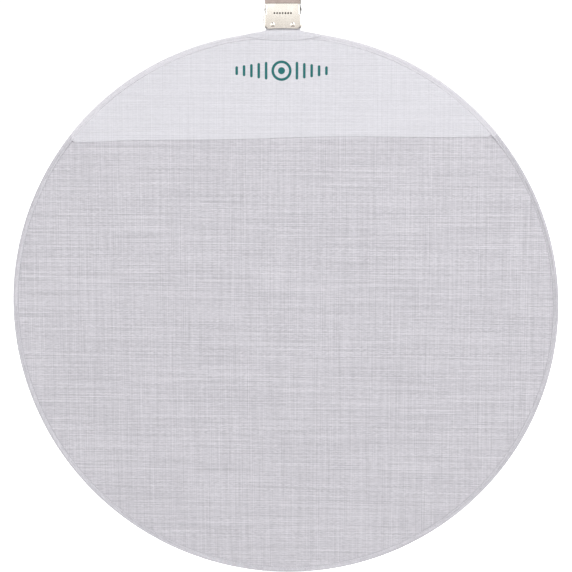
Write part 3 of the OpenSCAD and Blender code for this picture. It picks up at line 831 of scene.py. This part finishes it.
def closed_line(bm, points):
    verts = [bm.verts.new((x, y, 0)) for x, y in points]
    return [bm.edges.new(pair) for pair in zip(verts, verts[1:] + verts[:1])]


def pressed_plate(name, node, body, side, profile, ear_half, head_r, extra_holes=(), stamps=()):
    """A plate cut as a flat blank, with its ears and edges folded and its shoulder bent."""
    bend_r, cut_pitch = 1.5, 2.2
    fold_x = ear_half - PLATE_T / 2 - bend_r
    ear_s, ear_in = profile.foot_of((0, PIN_Z))
    quarter = bend_r * math.pi / 2
    ear_x = fold_x + quarter + ear_in - bend_r
    end_s = profile.slopes[-1][0]
    right = list(plate_blank(fold_x, ear_s, ear_x, end_s, head_r))
    bm = bmesh.new()
    edges = closed_line(bm, right + [(-x, y) for x, y in reversed(right)])
    for x in (-ear_x, ear_x):
        edges += closed_line(bm, circle(x, ear_s, PIN_BORE_R, 24))
    for x in (-RIVET_X, RIVET_X):
        edges += closed_line(bm, circle(x, RIVET_UP, RIVET_BORE_R, 24))
    for x, y, r in extra_holes:
        edges += closed_line(bm, circle(x, y, r, 48))
    marks = [closed_line(bm, circle(x, y, STAMP_R, 4)) for x, y in stamps]
    bmesh.ops.triangle_fill(bm, use_beauty=True, edges=edges + [e for mark in marks for e in mark])
    for mark in marks:
        # Each flat stamp mark takes the dark finish, painted shade for its recess
        for face in bmesh.ops.contextual_create(bm, geom=mark)["faces"]:
            face.material_index = 1
    flange_bends = [(0, 0), (0.66, FLANGE), (1.5, FLANGE), (FLANGE_W, 2 * FLANGE)]
    flange = PressedProfile((0, 0), flange_bends, 0.02)
    flange_x = JAW_BLANK - FLANGE_W
    corner_inset, corner_curl, corner_w = 5.2, 0.7, 1.6
    corner_at = (JAW_BLANK - corner_inset) / math.sqrt(2)
    cut(bm, UP, steps(2, end_s - 2, cut_pitch))
    for (s0, a0), (s1, a1) in zip(profile.slopes, profile.slopes[1:]):
        if abs(a1 - a0) / (s1 - s0) > 0.02:
            cut(bm, UP, steps(s0, s1, (s1 - s0) / 6))
    for way in (-1, 1):
        cut(bm, ACROSS, [way * x for x in steps(fold_x, fold_x + quarter, quarter / 5)])
        cut(bm, ACROSS, [way * x for x in steps(flange_x, JAW_BLANK - 0.05, 0.15)])
        slant = Vector((way, -1, 0)).normalized()
        cut(bm, slant, steps(corner_at, corner_at + corner_w, 0.2))
    flange_end = ear_s - EAR_R - 0.2
    ear_end = ear_s + EAR_TOP + 0.5
    for vert in bm.verts:
        x, s, inward = vert.co
        reach = abs(x)
        if s < flange_end and reach > flange_x:
            back, out = flange.place(reach - flange_x)
            reach = flange_x + out
            inward -= back
        elif flange_end < s < ear_end and reach > fold_x:
            angle = min((reach - fold_x) / bend_r, math.pi / 2)
            flat = reach - fold_x - angle * bend_r
            reach = fold_x + bend_r * math.sin(angle)
            inward += bend_r * (1 - math.cos(angle)) + flat
        corner = (abs(x) - s) / math.sqrt(2) - corner_at
        if corner > 0:
            inward += corner_curl * corner ** 2
        y, z = profile.place(s, inward)
        vert.co = (math.copysign(reach, x), side * y, z)
    bmesh.ops.recalc_face_normals(bm, faces=bm.faces)
    piece = settle(name, bm, CLIP, NICKEL, body)
    piece.data.materials.append(STAMP_RECESS_SHADE)
    sharp = math.radians(40)
    piece.data.set_sharp_from_angle(angle=sharp)
    thicken(piece, PLATE_T)
    rounding = piece.modifiers.new("edge rounding", "BEVEL")
    rounding.width = 0.12 * MM
    rounding.segments = 2
    rounding.limit_method = "ANGLE"
    rounding.angle_limit = sharp
    rounding.harden_normals = True
    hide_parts(node)


def clip_plates():
    bow, bow_setback = math.radians(3), 0.12
    foot = (-MOUTH_GAP - PLATE_T / 2 + bow_setback, MOUTH_Z)
    front_knee, front_turn = BEND_UP - 0.48, 0.75
    front_lever = 16.52
    slopes = [(0, LEAN + bow), (front_knee, LEAN - bow), (front_knee + front_turn, LEVER_FLARE)]
    slopes.append((front_knee + front_turn + front_lever, LEVER_FLARE))
    front = PressedProfile(foot, slopes)
    stamps = [(STAMP_PITCH * i, STAMP_UP) for i in range(-3, 4)]
    pressed_plate("front_jaw_plate", "front_jaw", "clip_front", 1, front, BODY_HALF, 5, (), stamps)
    rear_knee, rear_turn = BEND_UP - 0.29, 0.63
    slopes = [(0, LEAN + bow), (rear_knee, LEAN - bow), (rear_knee + rear_turn, 0)]
    rear_lever = HEAD_Z - PressedProfile(foot, slopes).points[-1].y
    slopes.append((rear_knee + rear_turn + rear_lever, 0))
    rear = PressedProfile(foot, slopes)
    hole = (0, slopes[-1][0] - HEAD_Z, 3.25)
    pressed_plate("rear_jaw_plate", "rear_jaw", "clip_rear", -1, rear, BODY_HALF - PLATE_T - 0.15, 8, [hole])


def torsion_spring():
    """Coil round the pin, with one leg up each plate, wound by the joint."""
    wire_d, coil_r, pitch, turns, fineness = 1.2, 2.5, 1.35, 7.5, 20
    start = -turns * pitch / 2
    rear_leg = [(start, 4.95, PIN_Z + 12), (start, 4.7, PIN_Z + 10), (start, 4.4, PIN_Z + 8)]
    rear_leg += [(start, 3.7, PIN_Z + 5.8), (start, 2.9, PIN_Z + 3.5), (start, 2.55, PIN_Z + 1.5)]
    coil = []
    for i in range(round(turns * fineness) + 1):
        a = -2 * math.pi * i / fineness
        coil.append((start + pitch * i / fineness, coil_r * math.cos(a), PIN_Z + coil_r * math.sin(a)))
    front_leg = [(-start, -2.65, PIN_Z + 1.2), (-start, -3.0, PIN_Z + 2.5), (-start, -4.2, PIN_Z + 4.5)]
    front_leg.append((-start, -4.75, PIN_Z + 5.8))
    points = rear_leg + coil + front_leg
    line = bpy.data.curves.new("spring line", "CURVE")
    line.dimensions = "3D"
    line.bevel_depth = wire_d / 2
    line.bevel_resolution = 4
    line.use_fill_caps = True
    spline = line.splines.new("POLY")
    spline.points.add(len(points) - 1)
    for spot, point in zip(spline.points, points):
        spot.co = (*point, 1)
    carrier = bpy.data.objects.new("spring line", line)
    bpy.context.scene.collection.objects.link(carrier)
    bpy.context.view_layer.update()
    swept = carrier.evaluated_get(bpy.context.evaluated_depsgraph_get())
    mesh = bpy.data.meshes.new_from_object(swept)
    bpy.data.objects.remove(carrier)
    bpy.data.curves.remove(line)
    mesh.materials.clear()
    mesh.transform(CLIP)
    piece = new_piece("torsion_spring_coil", mesh, SPRING)
    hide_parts("torsion_spring")
    ends = [CLIP @ Vector((x, 0, PIN_Z)) for x in (start, -start)]
    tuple(ends[0])
    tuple(ends[1])
    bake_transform(piece)


def finish_frame_nodes():
    """Gives the CAD nodes that stay their finishes."""
    finishes = {
        "hoop_band": HOOP, "hoop_ferrule": PIN, "hoop_rivets": PIN, "hoop_joint_wrap": TAPE,
        "hinge_pin": PIN, "front_pad": RUBBER, "rear_pad": RUBBER,
    }
    for pad in ("front_pad", "rear_pad"):
        for side in ("left", "right"):
            finishes[f"{pad}_{side}_rivet"] = RIVET
    for name, material in finishes.items():
        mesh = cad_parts[name].data
        mesh.materials.clear()
        mesh.materials.append(material)


# ---- Stage --------------------------------------------------------------------------------------

def shine_only(tree, plain, in_reflections):
    """Mixes two shaders: the second is what glossy surfaces see."""
    path = tree.nodes.new("ShaderNodeLightPath")
    inputs = {0: path.outputs["Is Glossy Ray"], 1: plain, 2: in_reflections}
    return add(tree, "ShaderNodeMixShader", inputs).outputs[0]


def floor():
    """Plain pale floor. Polished metal sees on it a painted reflection, graded by distance, and dark except
    in front.
    """
    radius, level_z, ramp_end = 12, -0.75, 5.0
    bm = bmesh.new()
    bmesh.ops.create_circle(bm, cap_ends=True, segments=64, radius=radius)
    bmesh.ops.translate(bm, verts=bm.verts, vec=(0, 0, level_z))
    mesh = bpy.data.meshes.new("studio_floor")
    bm.to_mesh(mesh)
    bm.free()
    material = bpy.data.materials.new("pale studio floor")
    material.use_nodes = True
    tree = material.node_tree
    tree.nodes.clear()
    paint = add(tree, "ShaderNodeBsdfDiffuse", {"Color": (0.9, 0.9, 0.9, 1)})
    glow = add(tree, "ShaderNodeEmission", {"Color": (1, 1, 1, 1), "Strength": 0.95})
    lit = add(tree, "ShaderNodeAddShader", {0: paint.outputs[0], 1: glow.outputs[0]})
    path = tree.nodes.new("ShaderNodeLightPath")
    inputs = {0: path.outputs["Is Camera Ray"], 1: paint.outputs[0], 2: lit.outputs[0]}
    plain = add(tree, "ShaderNodeMixShader", inputs)
    place = object_place(tree)
    split = add(tree, "ShaderNodeSeparateXYZ", {0: place})
    away = add(tree, "ShaderNodeVectorMath", {0: place}, operation="LENGTH").outputs["Value"]
    card = add(tree, "ShaderNodeValToRGB", {"Fac": calc(tree, "DIVIDE", away, ramp_end)})
    # Painted reflection: what polished metal sees, by distance in metres from the middle of the floor
    bands = [(0.75, (0.74, 0.63, 0.62)), (0.81, (0.72, 0.60, 0.59)), (0.83, (0.09, 0.08, 0.08)),
             (0.95, (0.12, 0.11, 0.10)), (1.2, (0.5, 0.48, 0.47)), (1.95, (0.62, 0.585, 0.57)),
             (2.5, (0.73, 0.705, 0.67)), (3.5, (0.86, 0.85, 0.84)), (4.3, (1.0, 1.0, 0.99))]
    ramp = card.color_ramp.elements
    while len(ramp) < len(bands):
        ramp.new(1.0)
    for element, (distance, colour) in zip(ramp, bands):
        element.position = distance / ramp_end
        element.color = (*colour, 1)
    aside = blur_step(tree, 0.6, 1.4, calc(tree, "ABSOLUTE", split.outputs["X"]))
    side = calc(tree, "MULTIPLY_ADD", aside, 0.7, 1.0)
    level = add(tree, "ShaderNodeVectorMath", {0: place, 1: (1, 1, 0)}, operation="MULTIPLY").outputs[0]
    level = add(tree, "ShaderNodeVectorMath", {0: level}, operation="NORMALIZE").outputs[0]
    behind = blur_step(tree, 0.15, -0.2, add(tree, "ShaderNodeSeparateXYZ", {0: level}).outputs["Y"])
    window = calc(tree, "MULTIPLY", blur_step(tree, 1.45, 1.65, away), blur_step(tree, 6.5, 5.0, away))
    facing = calc(tree, "MAXIMUM", behind, calc(tree, "MULTIPLY_ADD", window, 0.8, 0.03))
    strength = calc(tree, "MULTIPLY", calc(tree, "MULTIPLY", side, facing), 1.4)
    painted_reflection = add(tree, "ShaderNodeEmission", {"Color": card.outputs[0], "Strength": strength})
    out = tree.nodes.new("ShaderNodeOutputMaterial")
    tree.links.new(shine_only(tree, plain.outputs[0], painted_reflection.outputs[0]), out.inputs[0])
    mesh.materials.append(material)
    ground = bpy.data.objects.new("studio_floor", mesh)
    bpy.context.scene.collection.objects.link(ground)


def surroundings():
    """White all round. Polished metal sees a room that is dark behind the panel and overhead."""
    world = bpy.data.worlds.new("studio")
    bpy.context.scene.world = world
    world.use_nodes = True
    tree = world.node_tree
    tree.nodes.clear()
    toward = tree.nodes.new("ShaderNodeTexCoord").outputs["Generated"]
    split = add(tree, "ShaderNodeSeparateXYZ", {0: toward})
    front = blur_step(tree, 0.3, -0.1, split.outputs["Y"])
    low = blur_step(tree, 0.6, 0.35, split.outputs["Z"])
    room = tinted(tree, calc(tree, "MULTIPLY", front, low), (0.05, 0.045, 0.045), (0.95, 0.93, 0.90))
    plain = add(tree, "ShaderNodeBackground", {"Color": (1, 1, 1, 1), "Strength": 0.55})
    seen = add(tree, "ShaderNodeBackground", {"Color": room, "Strength": 1.0})
    white = add(tree, "ShaderNodeBackground", {"Color": (1, 1, 1, 1), "Strength": 1.1})
    path = tree.nodes.new("ShaderNodeLightPath")
    light = shine_only(tree, plain.outputs[0], seen.outputs[0])
    inputs = {0: path.outputs["Is Camera Ray"], 1: light, 2: white.outputs[0]}
    mixed = add(tree, "ShaderNodeMixShader", inputs)
    out = tree.nodes.new("ShaderNodeOutputWorld")
    tree.links.new(mixed.outputs[0], out.inputs[0])


def soft_light(name, place, size, power):
    lamp = bpy.data.lights.new(name, "AREA")
    lamp.shape = "SQUARE"
    lamp.size = size
    lamp.energy = power
    holder = bpy.data.objects.new(name, lamp)
    holder.location = place
    toward = Vector((0, CLOTH_Y, CENTRE_Z)) - Vector(place)
    holder.rotation_euler = toward.to_track_quat("-Z", "Y").to_euler()
    bpy.context.scene.collection.objects.link(holder)


def camera():
    """A long lens, a little to the panel's right and above it."""
    azimuth, elevation, distance = math.radians(3.67), math.radians(9.22), 1.630
    back = Vector((math.sin(azimuth) * math.cos(elevation), -math.cos(azimuth) * math.cos(elevation),
                   math.sin(elevation)))
    lens = bpy.data.cameras.new("camera")
    lens.lens = 100
    lens.sensor_width = 36
    lens.clip_start = 0.05
    lens.clip_end = 60
    holder = bpy.data.objects.new("camera", lens)
    holder.location = Vector((0, CLOTH_Y, CENTRE_Z)) + distance * back
    aim_right, aim_up = 0.003, 0.0236
    aim = Vector((aim_right, CLOTH_Y, CENTRE_Z + aim_up))
    holder.rotation_euler = (aim - holder.location).to_track_quat("-Z", "Y").to_euler()
    bpy.context.scene.collection.objects.link(holder)
    bpy.context.scene.camera = holder


def stage():
    bpy.context.scene.view_settings.view_transform = "Standard"
    floor()
    surroundings()
    soft_light("key_light", (1.1, -1.6, 1.2), 1.3, 26.5)
    soft_light("fill_light", (-1.8, -1.8, 0.4), 1.6, 12)
    soft_light("back_light", (-0.8, 2.4, 1.0), 1.6, 24)


# ---- Everything ---------------------------------------------------------------------------------

camera()
stage()
rim_casing()
backdrop_cloth()
pocket_cloth()
hanging_tab()
sewing()
clip_plates()
torsion_spring()
finish_frame_nodes()
